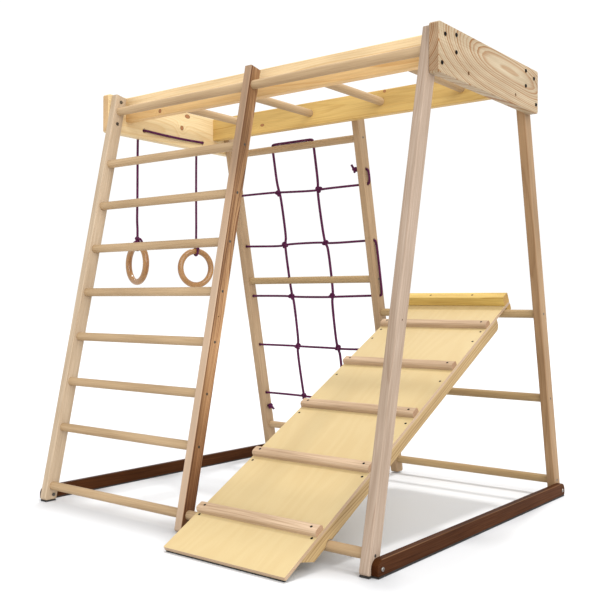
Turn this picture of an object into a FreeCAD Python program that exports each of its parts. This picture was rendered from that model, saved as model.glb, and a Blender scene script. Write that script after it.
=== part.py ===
import FreeCAD, Part
import math
import os

Vec = FreeCAD.Vector

# Wooden climbing frame for small children: an A-frame with a ladder, a rope net, monkey bars,
# gym rings and a ramp. Millimetres. Below, X = 0 is the middle of the frame, Y = 0 is halfway
# between its front and back feet and Z = 0 is the floor. Front is -Y, right is +X.
# The written part's origin is on the floor under the middle of the whole outline, ramp and rings
# included, so every solid is moved by -ORIGIN as it is written.
ORIGIN = Vec(-37.0, -66.5, 0.0)

# Posts: four end legs and two middle posts, all leaning in towards the ridge
LEAN = math.radians(11.95)
FOOT_Y = 560.4            # outer face of a post at floor level
POST_DEPTH = 43.0         # square to the lean
POST_WIDTH = 26.0         # along X
POST_TOP = 1300.0         # height of a post's outer top edge
LEG_OUTER_X = 604.0
MIDDLE_POST_BOTTOM = 4.0  # the two middle posts hang just clear of the floor
POST_ROUND = 3.0
FOOT_ROUND = 8.0

# Top: two end boards, and two long boards that carry the monkey bars
END_BOARD = 28.0
END_BOARD_LENGTH = 600.0
END_BOARD_Z = (1177.0, 1303.0)
END_BOARD_CORNER = 8.0
LONG_BOARD = 28.0
LONG_BOARD_Y = 211.0
LONG_BOARD_Z = (1222.0, 1302.0)
BOARD_EDGE = 2.0

# Round rods, all of one diameter, with sockets in the posts
ROD_R = 13.0
SOCKET = 13.0
SOCKET_GAP = 0.3
ROD_FIT = 0.1
MONKEY_X = (-432.0, -144.0, 144.0, 432.0)
MONKEY_Z = 1264.0
FRONT_TOP_Z = 1243.4
FRONT_BOTTOM_Z = 46.4
RUNG_FIRST_Z = 222.9
RUNG_PITCH = 140.27
RUNG_COUNT = 7
NET_ROD_Z = {"net_top_rod": 1177.4, "net_middle_rod": 697.9, "net_bottom_rod": 125.9}
RAMP_ROD_Z = 581.6
BACK_ROD_Z = {"ramp_rod": RAMP_ROD_Z, "back_middle_rod": 315.3, "back_bottom_rod": 50.6}
SPARE_HOLE_Z = 573.5      # free screw holes for hanging the ramp at the front
SPARE_HOLE_R = 2.6

# Base rails outside the end legs, on rubber
RAIL = 18.0
RAIL_Z = (4.5, 41.5)
RAIL_END_Y = 546.0
RAIL_TOP_CORNER = 22.0
RAIL_LOW_CORNER = 4.0
RAIL_BOLT_Y = 527.0
RAIL_BOLT_Z = 19.5
PAD_INSET = 6.0           # from a leg's outer edge to its rubber pad

# Fasteners
BOLT_R = 3.0
BOLT_HOLE_R = 3.2
BOLT_HEAD_R = 5.25
BOLT_HEAD = 2.6
HEX_SOCKET = 4.0
SLEEVE_HEAD_R = 5.5
SLEEVE_HEAD = 1.6
SLEEVE_R = 4.2
SLEEVE_HOLE_R = 4.3
SLEEVE_LENGTH = 18.0
BOLT_SHORT = 3.0          # from a bolt's tip to the face that its sleeve nut lies on
LEG_BOLT_Z = (1276.0, 1202.0)
LONG_BOARD_BOLT_Z = (1287.0, 1243.5)
LONG_BOARD_BOLT_DEPTH = 50.0
SCREW_R = 2.0
SCREW_HOLE_R = 2.2
SCREW_HEAD_R = 4.0
SCREW_HEAD = 2.2
SCREW_BITE = 22.0

# Climbing net in the back left bay
NET_ROPE_R = 4.0
DROP_ROPE_R = 4.5
NET_ROWS_Z = (1023.0, 832.0, 640.0, 448.0, 255.0)
NET_DROPS_X = (-388.0, -199.0)
NET_KNOT_R = 10.0
STOPPERS = ((-33.0, 1073.0), (-567.0, 201.0))
STOPPER_R = 9.0
CLEAR = 0.3
HOLE_PLAY = 0.5           # radial, round a rope
DROP_HOLE_DEPTH = 20.0
DROP_MOUTH = (8.0, 14.0)  # where a drop's hole starts to widen upwards, and where it ends
# The ropes' routes are x and z in the back posts' plane. Where there are four numbers, the last two
# move the point up along the lean and out of the plane.
ROWS_ROUTE = ((-46.0, 1091.0), (-36.0, 1073.0), (17.3, 1073.0), (17.3, 1023.0),
              (-608.3, 1023.0), (-608.3, 832.0), (17.3, 832.0), (17.3, 640.0),
              (-608.3, 640.0), (-608.3, 448.0), (17.3, 448.0),
              (17.3, 315.3, 17.4, 17.4), (17.3, 315.3, -17.4, 17.4), (17.3, 255.0),
              (-608.3, 255.0), (-608.3, 201.0), (-569.0, 201.0), (-550.0, 190.0))
POST_BEND = 7.0           # where the rope turns on a post's face
ROD_BEND = 17.4           # where it passes the end of the back middle rod
ROWS_BENDS = (POST_BEND,) * 10 + (ROD_BEND,) * 2 + (POST_BEND,) * 4
DROPS_ROUTE = ((-388.0, 255.0), (-388.0, 1177.4, 17.8, 0.0), (-199.0, 1177.4, 17.8, 0.0), (-199.0, 255.0))
DROPS_BEND = 8.0
LIP = 3.5                 # depth and widening of the eased mouth of a rope hole

# Gym rings outside the left end board
RING_HOLE_Y = 143.0
RING_HOLE_Z = 1205.0
RING_HOLE_R = 5.0
RING_ROPE_R = 4.0
RING_ROPE_X = -637.0
RING_MIDDLE_R = 63.0
RING_TUBE_R = 11.0
RING_Z = {"front": 746.0, "back": 741.0}
RING_TURN = {"front": math.radians(76.6), "back": math.radians(-17.7)}  # from +Y towards -X
RING_LOOP_R = 15.5
RING_KNOT_R = 10.0
RING_KNOT_RISE = 22.5
RING_KNOT_TOP = 9.0
RING_TAIL = (22.0, 20.0)  # the rope's tail: out from the knot's middle, and down
RING_TAIL_R = 3.5
LINK_END = 0.7            # how far the link's ends stand out of the board

# Ramp, which hangs on the ramp rod. s runs up the slope from the foot, h is square to it,
# and h = 0 is the climbing face.
RAMP_X = (93.0, 477.0)
RAMP_LENGTH = 1292.0
RAMP_PLY = 9.5
RAMP_HANG_S = 1247.0
RAMP_STRIP = 5.0
RAMP_STRIP_LENGTH = 18.0
RAMP_STRIP_INSET = 5.0    # from the ply's side edges
SIDE_RAIL = 24.0
SIDE_RAIL_DEPTH = 34.0
SIDE_RAIL_S = (60.0, 100.0, 1186.0)   # foot under the ply, foot at the lower edge, upper end
SIDE_RAIL_ROUND = 18.0
SADDLE_R = 15.5
CLEAT_FIRST_S = 133.0
CLEAT_PITCH = 243.5
CLEAT_COUNT = 5
CLEAT = (30.0, 16.0)
CLEAT_END_GAP = 1.0
CLEAT_ROUND = 8.0
TOP_BAR_S = (1254.0, 1290.0)
TOP_BAR = 31.0
HOOK_BAR_S = (1264.0, 1292.0)
HOOK_BAR = 20.0
RAMP_SCREW_R = 1.8
RAMP_SCREW_HEAD_R = 3.6
RAMP_SCREW_HEAD = 2.0
RAMP_SCREW_LENGTH = 24.0
RAMP_SCREW_S = (128.0, 360.0, 593.0, 804.0, 1029.0, 1088.0)
RAMP_SCREW_INSET = 12.0
CLEAT_SCREW_INSET = 20.0
TOP_BAR_SCREW_INSET = 115.0

NODES = {}


def add(name, *solids):
    """Keeps one named piece, or a group of equal pieces, for writing."""
    NODES.setdefault(name, []).extend(solids)


def box(x, y, z):
    return Part.makeBox(x[1] - x[0], y[1] - y[0], z[1] - z[0], Vec(x[0], y[0], z[0]))


def cylinder(start, end, radius):
    line = end - start
    return Part.makeCylinder(radius, line.Length, start, line)


def cone(start, end, start_r, end_r):
    line = end - start
    return Part.makeCone(start_r, end_r, line.Length, start, line)


def slab(outline, x):
    """A flat piece whose outline is given as (y, z) points, from x[0] to x[1]."""
    corners = [Vec(x[0], y, z) for y, z in outline]
    return Part.Face(Part.makePolygon(corners + corners[:1])).extrude(Vec(x[1] - x[0], 0, 0))


def edges_along(solid, direction):
    """The solid's straight edges that are parallel to a direction."""
    found = []
    for edge in solid.Edges:
        if not isinstance(edge.Curve, Part.Line):
            continue
        if edge.tangentAt(edge.FirstParameter).cross(direction).Length < 1e-6:
            found.append(edge)
    return found


def rounded(solid, radius, *directions):
    found = []
    for direction in directions:
        found += edges_along(solid, direction)
    return solid.makeFillet(radius, found)


def cut(solid, tools):
    return solid.cut(Part.makeCompound(tools)) if tools else solid


# ---- Leaning plane of the posts. side is -1 at the front and +1 at the back.

def up_the_lean(side):
    return Vec(0, -side * math.sin(LEAN), math.cos(LEAN))


def out_of_lean(side):
    return Vec(0, side * math.cos(LEAN), math.sin(LEAN))


def middle_y(side, z):
    """Y of the posts' centre plane at a height."""
    return side * (FOOT_Y - z * math.tan(LEAN) - POST_DEPTH / 2 / math.cos(LEAN))


def on_plane(side, x, z, up=0.0, out=0.0):
    """A point of the posts' centre plane, or one moved up along the lean and out of the plane."""
    return Vec(x, middle_y(side, z), z) + up_the_lean(side) * up + out_of_lean(side) * out


# ---- Round wire paths for ropes

def bend(before, corner, after, radius):
    """Tangent arc at a corner of a rope's route."""
    back = (before - corner).normalize()
    ahead = (after - corner).normalize()
    half = back.getAngle(ahead) / 2
    reach = radius / math.tan(half)
    middle = corner + (back + ahead).normalize() * (radius / math.sin(half) - radius)
    return Part.Arc(corner + back * reach, middle, corner + ahead * reach)


def rope(name, route, radius, bends):
    """A plain round rope along straight runs joined by tangent arcs, one bend radius a corner."""
    edges = []
    start = route[0]
    for before, corner, after, bend_radius in zip(route, route[1:], route[2:], bends):
        arc = bend(before, corner, after, bend_radius)
        edges.append(Part.LineSegment(start, arc.StartPoint).toShape())
        edges.append(arc.toShape())
        start = arc.EndPoint
    edges.append(Part.LineSegment(start, route[-1]).toShape())
    path = Part.Wire(edges)
    section = Part.Wire(Part.Circle(route[0], route[1] - route[0], radius).toShape())
    tube = path.makePipeShell([section], True, False)
    ratio = tube.Volume / (math.pi * radius ** 2 * path.Length)
    radii = ", ".join(f"{bend_radius:.1f}" for bend_radius in bends)
    print(f"{name}: length {path.Length:.0f}, volume ratio {ratio:.4f}, bend radii {radii}")
    add(name, tube)


def rope_hole(start, end, radius):
    """A hole for a rope with both mouths eased."""
    along = (end - start).normalize()
    wide = radius + LIP
    return [cylinder(start - along, end + along, radius),
            cone(start - along, start + along * LIP, wide + 1, radius),
            cone(end + along, end - along * LIP, wide + 1, radius)]


# ---- Fasteners

def hex_prism(centre, axis, flats, depth):
    turn = FreeCAD.Rotation(Vec(0, 0, 1), axis)
    corners = []
    for k in range(6):
        spoke = Vec(math.cos(k * math.pi / 3), math.sin(k * math.pi / 3), 0)
        corners.append(centre + turn.multVec(spoke) * (flats / math.sqrt(3)))
    return Part.Face(Part.makePolygon(corners + corners[:1])).extrude(axis * depth)


def button_bolt(face_point, inward, length):
    """Button-head bolt with a hex socket, its head lying on a face."""
    head = cylinder(face_point - inward * BOLT_HEAD, face_point, BOLT_HEAD_R)
    crown = [edge for edge in head.Edges
             if abs((edge.CenterOfMass - face_point).Length - BOLT_HEAD) < 1e-6]
    head = head.makeFillet(BOLT_HEAD * 0.7, crown)
    bolt = head.fuse(cylinder(face_point, face_point + inward * length, BOLT_R)).removeSplitter()
    return bolt.cut(hex_prism(face_point - inward * BOLT_HEAD, inward, HEX_SOCKET, BOLT_HEAD * 0.8))


def sleeve_nut(face_point, inward, length):
    """Flat-headed sleeve nut on a face, bored for the bolt that comes to meet it."""
    head = cylinder(face_point - inward * SLEEVE_HEAD, face_point, SLEEVE_HEAD_R)
    nut = head.fuse(cylinder(face_point, face_point + inward * length, SLEEVE_R)).removeSplitter()
    return nut.cut(cylinder(face_point + inward, face_point + inward * (length + 1), BOLT_HOLE_R))


def countersunk(face_point, inward, length, radius, head_r, head):
    """Countersunk screw whose head is flush with a face, with a square drive recess."""
    top = cone(face_point, face_point + inward * head, head_r, radius)
    shank = cylinder(face_point + inward * head, face_point + inward * length, radius)
    screw = top.fuse(shank).removeSplitter()
    drive = radius * 1.1
    if abs(inward.x) > 0.5:
        recess = Part.makeBox(2, drive, drive, face_point - Vec(1, drive / 2, drive / 2))
    else:
        recess = Part.makeBox(drive, drive, 2, Vec(-drive / 2, -drive / 2, -1))
        turn = FreeCAD.Rotation(Vec(0, 0, 1), inward)
        recess.Placement = FreeCAD.Placement(face_point, turn) * recess.Placement
    return screw.cut(recess)


def countersunk_hole(face_point, inward, length, radius, head_r, head):
    extra = 0.1
    return [cone(face_point - inward * 0.01, face_point + inward * (head + extra), head_r + extra, radius),
            cylinder(face_point, face_point + inward * length, radius + extra)]


# ---- Frame

def post_outline(side, bottom):
    outer_top = FOOT_Y - POST_TOP * math.tan(LEAN)
    inner_bottom = FOOT_Y - bottom * math.tan(LEAN) - POST_DEPTH / math.cos(LEAN)
    points = [(FOOT_Y - bottom * math.tan(LEAN), bottom),
              (outer_top, POST_TOP),
              (outer_top - POST_DEPTH * math.cos(LEAN), POST_TOP - POST_DEPTH * math.sin(LEAN)),
              (inner_bottom, bottom)]
    return [(side * y, z) for y, z in points]


def post(side, x, bottom, tools):
    solid = slab(post_outline(side, bottom), x)
    feet = [edge for edge in edges_along(solid, Vec(1, 0, 0)) if edge.CenterOfMass.z < bottom + 1]
    solid = solid.makeFillet(FOOT_ROUND, feet)
    solid = rounded(solid, POST_ROUND, up_the_lean(side))
    return cut(solid, tools)


def socket(side, x, z, inward):
    """Blind socket for a rod in the post face at x."""
    start = on_plane(side, x - inward, z)
    return cylinder(start, on_plane(side, x + inward * SOCKET, z), ROD_R + ROD_FIT)


def rod_screw_hole(side, x, z, inward):
    face_point = on_plane(side, x, z)
    return countersunk_hole(face_point, Vec(inward, 0, 0), POST_WIDTH, SCREW_R, SCREW_HEAD_R, SCREW_HEAD)


def rod(name, side, x, z, through=()):
    """A rod between two sockets, with a pilot hole and a screw at each end."""
    ends = (x[0] + SOCKET_GAP - SOCKET, x[1] - SOCKET_GAP + SOCKET)
    solid = cylinder(on_plane(side, ends[0], z), on_plane(side, ends[1], z), ROD_R)
    web = POST_WIDTH - SOCKET
    tools = list(through)
    for end, inward in ((x[0] - POST_WIDTH, 1), (x[1] + POST_WIDTH, -1)):
        length = web + SOCKET_GAP + SCREW_BITE
        face_point = on_plane(side, end, z)
        pilot_end = on_plane(side, end + inward * (length + 1), z)
        tools.append(cylinder(face_point, pilot_end, SCREW_HOLE_R))
        screw = countersunk(face_point, Vec(inward, 0, 0), length, SCREW_R, SCREW_HEAD_R, SCREW_HEAD)
        add("rod_screws", screw)
    add(name, solid.cut(Part.makeCompound(tools)))


LEFT_BAY = (-LEG_OUTER_X + POST_WIDTH, -POST_WIDTH / 2)
RIGHT_BAY = (POST_WIDTH / 2, LEG_OUTER_X - POST_WIDTH)
FULL = (-LEG_OUTER_X + POST_WIDTH, LEG_OUTER_X - POST_WIDTH)
RUNG_Z = [RUNG_FIRST_Z + k * RUNG_PITCH for k in range(RUNG_COUNT)]


def end_leg(name, side, hand, socket_heights, extra=()):
    """hand is -1 for the left end and +1 for the right end."""
    outer = hand * LEG_OUTER_X
    inner = hand * (LEG_OUTER_X - POST_WIDTH)
    tools = list(extra)
    for z in socket_heights:
        tools.append(socket(side, inner, z, hand))
        tools += rod_screw_hole(side, outer, z, -hand)
    bolts = [(middle_y(side, z), z) for z in LEG_BOLT_Z] + [(side * RAIL_BOLT_Y, RAIL_BOLT_Z)]
    for y, z in bolts:
        tools.append(cylinder(Vec(outer + hand, y, z), Vec(inner - hand, y, z), SLEEVE_HOLE_R))
    add(name, post(side, sorted((outer, inner)), RAIL_Z[0], tools))


def net_holes(x, heights):
    holes = []
    for z in heights:
        holes += rope_hole(on_plane(1, x[0], z), on_plane(1, x[1], z), NET_ROPE_R + HOLE_PLAY)
    return holes


def spare_hole(x):
    ends = [on_plane(-1, end, SPARE_HOLE_Z) for end in (x[0] - 1, x[1] + 1)]
    return [cylinder(ends[0], ends[1], SPARE_HOLE_R)]


def make_posts():
    right_wall = (LEG_OUTER_X - POST_WIDTH, LEG_OUTER_X)
    left_wall = (-LEG_OUTER_X, -LEG_OUTER_X + POST_WIDTH)
    middle_wall = (-POST_WIDTH / 2, POST_WIDTH / 2)
    end_leg("left_front_leg", -1, -1, [FRONT_TOP_Z, FRONT_BOTTOM_Z] + RUNG_Z)
    end_leg("right_front_leg", -1, 1, [FRONT_TOP_Z, FRONT_BOTTOM_Z], spare_hole(right_wall))
    end_leg("left_back_leg", 1, -1, list(NET_ROD_Z.values()),
            net_holes(left_wall, NET_ROWS_Z + (STOPPERS[1][1],)))
    end_leg("right_back_leg", 1, 1, list(BACK_ROD_Z.values()))

    tools = spare_hole(middle_wall)
    for z in (FRONT_TOP_Z, FRONT_BOTTOM_Z):
        tools.append(cylinder(on_plane(-1, -POST_WIDTH, z), on_plane(-1, POST_WIDTH, z), ROD_R + ROD_FIT))
    for z in RUNG_Z:
        tools.append(socket(-1, middle_wall[0], z, 1))
        tools += rod_screw_hole(-1, middle_wall[1], z, -1)
    add("middle_front_post", post(-1, middle_wall, MIDDLE_POST_BOTTOM, tools))

    tools = net_holes(middle_wall, (STOPPERS[0][1],) + NET_ROWS_Z)
    for z in NET_ROD_Z.values():
        tools.append(socket(1, middle_wall[0], z, 1))
        tools += rod_screw_hole(1, middle_wall[1], z, -1)
    for z in BACK_ROD_Z.values():
        tools.append(socket(1, middle_wall[1], z, -1))
        tools += rod_screw_hole(1, middle_wall[0], z, 1)
    add("middle_back_post", post(1, middle_wall, MIDDLE_POST_BOTTOM, tools))


def drop_holes(z):
    """Holes for the net's upright ropes through a net rod, along the lean."""
    holes = []
    for x in NET_DROPS_X:
        centre = on_plane(1, x, z)
        up = up_the_lean(1)
        radius = DROP_ROPE_R + HOLE_PLAY
        wide = radius + DROP_MOUTH[1] - DROP_MOUTH[0]
        holes.append(cylinder(centre - up * DROP_HOLE_DEPTH, centre + up * DROP_HOLE_DEPTH, radius))
        holes.append(cone(centre + up * DROP_MOUTH[1], centre + up * DROP_MOUTH[0], wide, radius))
    return holes


def make_rods():
    rod("front_top_rod", -1, FULL, FRONT_TOP_Z)
    rod("front_bottom_rod", -1, FULL, FRONT_BOTTOM_Z)
    for number, z in enumerate(RUNG_Z, 1):
        rod(f"ladder_rung_{number}", -1, LEFT_BAY, z)
    for name, z in NET_ROD_Z.items():
        rod(name, 1, LEFT_BAY, z, drop_holes(z) if name != "net_bottom_rod" else ())
    for name, z in BACK_ROD_Z.items():
        rod(name, 1, RIGHT_BAY, z)


def end_board(name, hand):
    """The two end boards are equal: each has bolt holes and two rope holes."""
    inner = hand * LEG_OUTER_X
    outer = hand * (LEG_OUTER_X + END_BOARD)
    solid = box(sorted((inner, outer)), (-END_BOARD_LENGTH / 2, END_BOARD_LENGTH / 2), END_BOARD_Z)
    solid = rounded(solid, END_BOARD_CORNER, Vec(1, 0, 0))
    rims = [edge for edge in solid.Edges if abs(abs(edge.CenterOfMass.x) - abs(outer)) < 1e-6
            or abs(abs(edge.CenterOfMass.x) - abs(inner)) < 1e-6]
    solid = solid.makeFillet(BOARD_EDGE, rims)
    tools = []
    inward = Vec(-hand, 0, 0)
    for side in (-1, 1):
        for z in LEG_BOLT_Z:
            face_point = Vec(outer, middle_y(side, z), z)
            tools.append(cylinder(face_point - inward, face_point + inward * (END_BOARD + 1), BOLT_HOLE_R))
            add("end_board_bolts", button_bolt(face_point, inward, END_BOARD + POST_WIDTH - BOLT_SHORT))
            leg_face = face_point + inward * (END_BOARD + POST_WIDTH)
            add("sleeve_nuts", sleeve_nut(leg_face, inward * -1, SLEEVE_LENGTH))
        for z in LONG_BOARD_BOLT_Z:
            face_point = Vec(outer, side * LONG_BOARD_Y, z)
            tools.append(cylinder(face_point - inward, face_point + inward * (END_BOARD + 1), BOLT_HOLE_R))
            add("end_board_bolts", button_bolt(face_point, inward, END_BOARD + LONG_BOARD_BOLT_DEPTH))
        hole = [Vec(x, side * RING_HOLE_Y, RING_HOLE_Z) for x in (outer, inner)]
        tools += [cylinder(hole[0] - inward, hole[1] + inward, RING_HOLE_R)]
        if hand < 0:
            tools += rope_hole(hole[0], hole[1], RING_HOLE_R)
    add(name, cut(solid, tools))


def long_board(name, side):
    y = (side * LONG_BOARD_Y - LONG_BOARD / 2, side * LONG_BOARD_Y + LONG_BOARD / 2)
    solid = box((-LEG_OUTER_X, LEG_OUTER_X), y, LONG_BOARD_Z)
    solid = rounded(solid, BOARD_EDGE * 1.5, Vec(1, 0, 0))
    tools = []
    for x in MONKEY_X:
        inner = side * (LONG_BOARD_Y - LONG_BOARD / 2)
        tools.append(cylinder(Vec(x, inner - side, MONKEY_Z), Vec(x, inner + side * SOCKET, MONKEY_Z),
                              ROD_R + ROD_FIT))
    for hand in (-1, 1):
        for z in LONG_BOARD_BOLT_Z:
            end = Vec(hand * (LEG_OUTER_X + 1), side * LONG_BOARD_Y, z)
            tools.append(cylinder(end, end - Vec(hand * (LONG_BOARD_BOLT_DEPTH + 3), 0, 0), BOLT_HOLE_R))
    add(name, cut(solid, tools))


def make_top():
    end_board("left_end_board", -1)
    end_board("right_end_board", 1)
    long_board("front_long_board", -1)
    long_board("back_long_board", 1)
    reach = LONG_BOARD_Y - LONG_BOARD / 2 + SOCKET - SOCKET_GAP
    for number, x in enumerate(MONKEY_X, 1):
        add(f"monkey_bar_{number}", cylinder(Vec(x, -reach, MONKEY_Z), Vec(x, reach, MONKEY_Z), ROD_R))


def base_rail(name, hand):
    x = sorted((hand * LEG_OUTER_X, hand * (LEG_OUTER_X + RAIL)))
    solid = box(x, (-RAIL_END_Y, RAIL_END_Y), RAIL_Z)
    across = edges_along(solid, Vec(1, 0, 0))
    solid = solid.makeFillet(RAIL_LOW_CORNER, [edge for edge in across if edge.CenterOfMass.z < 20])
    across = edges_along(solid, Vec(1, 0, 0))
    solid = solid.makeFillet(RAIL_TOP_CORNER, [edge for edge in across if edge.CenterOfMass.z > 40])
    rims = [edge for edge in solid.Edges if abs(abs(edge.CenterOfMass.x) - LEG_OUTER_X - RAIL) < 1e-6]
    solid = solid.makeFillet(BOARD_EDGE, rims)
    tools = []
    inward = Vec(-hand, 0, 0)
    for side in (-1, 1):
        face_point = Vec(hand * (LEG_OUTER_X + RAIL), side * RAIL_BOLT_Y, RAIL_BOLT_Z)
        tools.append(cylinder(face_point - inward, face_point + inward * (RAIL + 1), BOLT_HOLE_R))
        add("rail_bolts", button_bolt(face_point, inward, RAIL + POST_WIDTH - BOLT_SHORT))
        leg_face = face_point + inward * (RAIL + POST_WIDTH)
        add("sleeve_nuts", sleeve_nut(leg_face, inward * -1, SLEEVE_LENGTH))
        leg_x = sorted((hand * LEG_OUTER_X, hand * (LEG_OUTER_X - POST_WIDTH)))
        foot_y = sorted((side * (FOOT_Y - PAD_INSET), side * (FOOT_Y - POST_DEPTH + 1)))
        add("leg_pads", box(leg_x, foot_y, (0, RAIL_Z[0])))
    add(name, cut(solid, tools))
    strip_end = RAIL_END_Y - RAIL_LOW_CORNER
    add(name.replace("rail", "strip"), box(x, (-strip_end, strip_end), (0, RAIL_Z[0])))


# ---- Net and rings

def make_net():
    """One rope laced to and fro makes the rows; another hangs over the top rod as two drops."""
    rows = [on_plane(1, *point) for point in ROWS_ROUTE]
    rope("net_rope_rows", rows, NET_ROPE_R, ROWS_BENDS)
    drops = [on_plane(1, *point) for point in DROPS_ROUTE]
    rope("net_rope_drops", drops, DROP_ROPE_R, [DROPS_BEND] * 2)
    for z in NET_ROWS_Z:
        for x in NET_DROPS_X:
            add("net_knots", Part.makeSphere(NET_KNOT_R, on_plane(1, x, z)))
    for x, z in STOPPERS:
        add("net_knots", Part.makeSphere(STOPPER_R, on_plane(1, x, z)))


def make_rings():
    inner = -LEG_OUTER_X + RING_ROPE_R + CLEAR
    outer = -LEG_OUTER_X - END_BOARD - LINK_END
    route = [Vec(outer, -RING_HOLE_Y, RING_HOLE_Z), Vec(inner, -RING_HOLE_Y, RING_HOLE_Z),
             Vec(inner, RING_HOLE_Y, RING_HOLE_Z), Vec(outer, RING_HOLE_Y, RING_HOLE_Z)]
    rope("ring_rope_link", route, RING_ROPE_R, [2 * RING_ROPE_R] * 2)
    for place, side in (("front", -1), ("back", 1)):
        centre = Vec(RING_ROPE_X, side * RING_HOLE_Y, RING_Z[place])
        turn = RING_TURN[place]
        across = Vec(-math.sin(turn), math.cos(turn), 0)
        normal = Vec(math.cos(turn), math.sin(turn), 0)
        top = centre + Vec(0, 0, RING_MIDDLE_R)
        knot_centre = top + Vec(0, 0, RING_KNOT_RISE)
        add(f"ring_{place}", Part.makeTorus(RING_MIDDLE_R, RING_TUBE_R, centre, normal))

        loop = Part.makeTorus(RING_LOOP_R, RING_ROPE_R, top, across)
        knot = Part.makeSphere(RING_KNOT_R, knot_centre)
        tail_end = knot_centre + normal * RING_TAIL[0] - Vec(0, 0, RING_TAIL[1])
        tied = loop.fuse([knot, cylinder(knot_centre, tail_end, RING_TAIL_R)])
        cap_z = knot_centre.z + RING_KNOT_TOP
        cap = box((centre.x - RING_KNOT_R, centre.x + RING_KNOT_R),
                  (centre.y - RING_KNOT_R, centre.y + RING_KNOT_R), (cap_z, cap_z + RING_KNOT_R))
        add(f"ring_knot_{place}", tied.cut(cap).removeSplitter())

        pivot = Vec(RING_ROPE_X, side * RING_HOLE_Y, RING_HOLE_Z)
        hang = cylinder(Vec(pivot.x, pivot.y, cap_z + CLEAR), pivot, RING_ROPE_R)
        length = pivot.z - cap_z - CLEAR
        print(f"ring_rope_{place}: hanging length {length:.0f}, straight")
        add(f"ring_rope_{place}", hang.fuse(Part.makeSphere(RING_ROPE_R, pivot)).removeSplitter())


# ---- Ramp

ROD_DROP = RAMP_PLY + CLEAR + ROD_R
STRIP_DROP = RAMP_PLY + RAMP_STRIP
HANG_REACH = math.hypot(RAMP_HANG_S, ROD_DROP - STRIP_DROP)
SLOPE = math.asin(RAMP_ROD_Z / HANG_REACH) + math.atan2(ROD_DROP - STRIP_DROP, RAMP_HANG_S)


def ramp_placement():
    """Takes a ramp drawn with s along Y and h along Z to its place on the ramp rod."""
    rod_centre = on_plane(1, 0, RAMP_ROD_Z)
    turn = FreeCAD.Rotation(Vec(1, 0, 0), math.degrees(SLOPE))
    return FreeCAD.Placement(rod_centre - turn.multVec(Vec(0, RAMP_HANG_S, -ROD_DROP)), turn)


def add_ramp(name, *solids):
    for solid in solids:
        placed = solid.copy()
        placed.Placement = ramp_placement() * placed.Placement
        add(name, placed)


def ramp_screw(x, s, h, length=RAMP_SCREW_LENGTH):
    """Makes a screw driven down at a place on the ramp, and returns the hole it needs."""
    head = (Vec(x, s, h), Vec(0, 0, -1), length, RAMP_SCREW_R, RAMP_SCREW_HEAD_R, RAMP_SCREW_HEAD)
    add_ramp("ramp_screws", countersunk(*head))
    return countersunk_hole(*head)


def side_rail(x, tools):
    low = -RAMP_PLY - SIDE_RAIL_DEPTH
    outline = [(SIDE_RAIL_S[0], -RAMP_PLY), (SIDE_RAIL_S[1], low), (SIDE_RAIL_S[2], low),
               (SIDE_RAIL_S[2], -RAMP_PLY)]
    solid = slab(outline, x)
    across = edges_along(solid, Vec(1, 0, 0))
    upper = [edge for edge in across
             if edge.CenterOfMass.y > SIDE_RAIL_S[2] - 1 and edge.CenterOfMass.z < low + 1]
    solid = solid.makeFillet(SIDE_RAIL_ROUND, upper)
    under = [edge for edge in edges_along(solid, Vec(0, 1, 0)) if edge.CenterOfMass.z < low + 1]
    solid = solid.makeFillet(BOARD_EDGE, under)
    # Relief over the front bottom rod
    rod_place = ramp_placement().inverse().multVec(on_plane(-1, 0, FRONT_BOTTOM_Z))
    relief_ends = [Vec(end, rod_place.y, rod_place.z) for end in (x[0] - 1, x[1] + 1)]
    relief = cylinder(relief_ends[0], relief_ends[1], SADDLE_R)
    return cut(solid, [relief] + tools)


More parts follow.
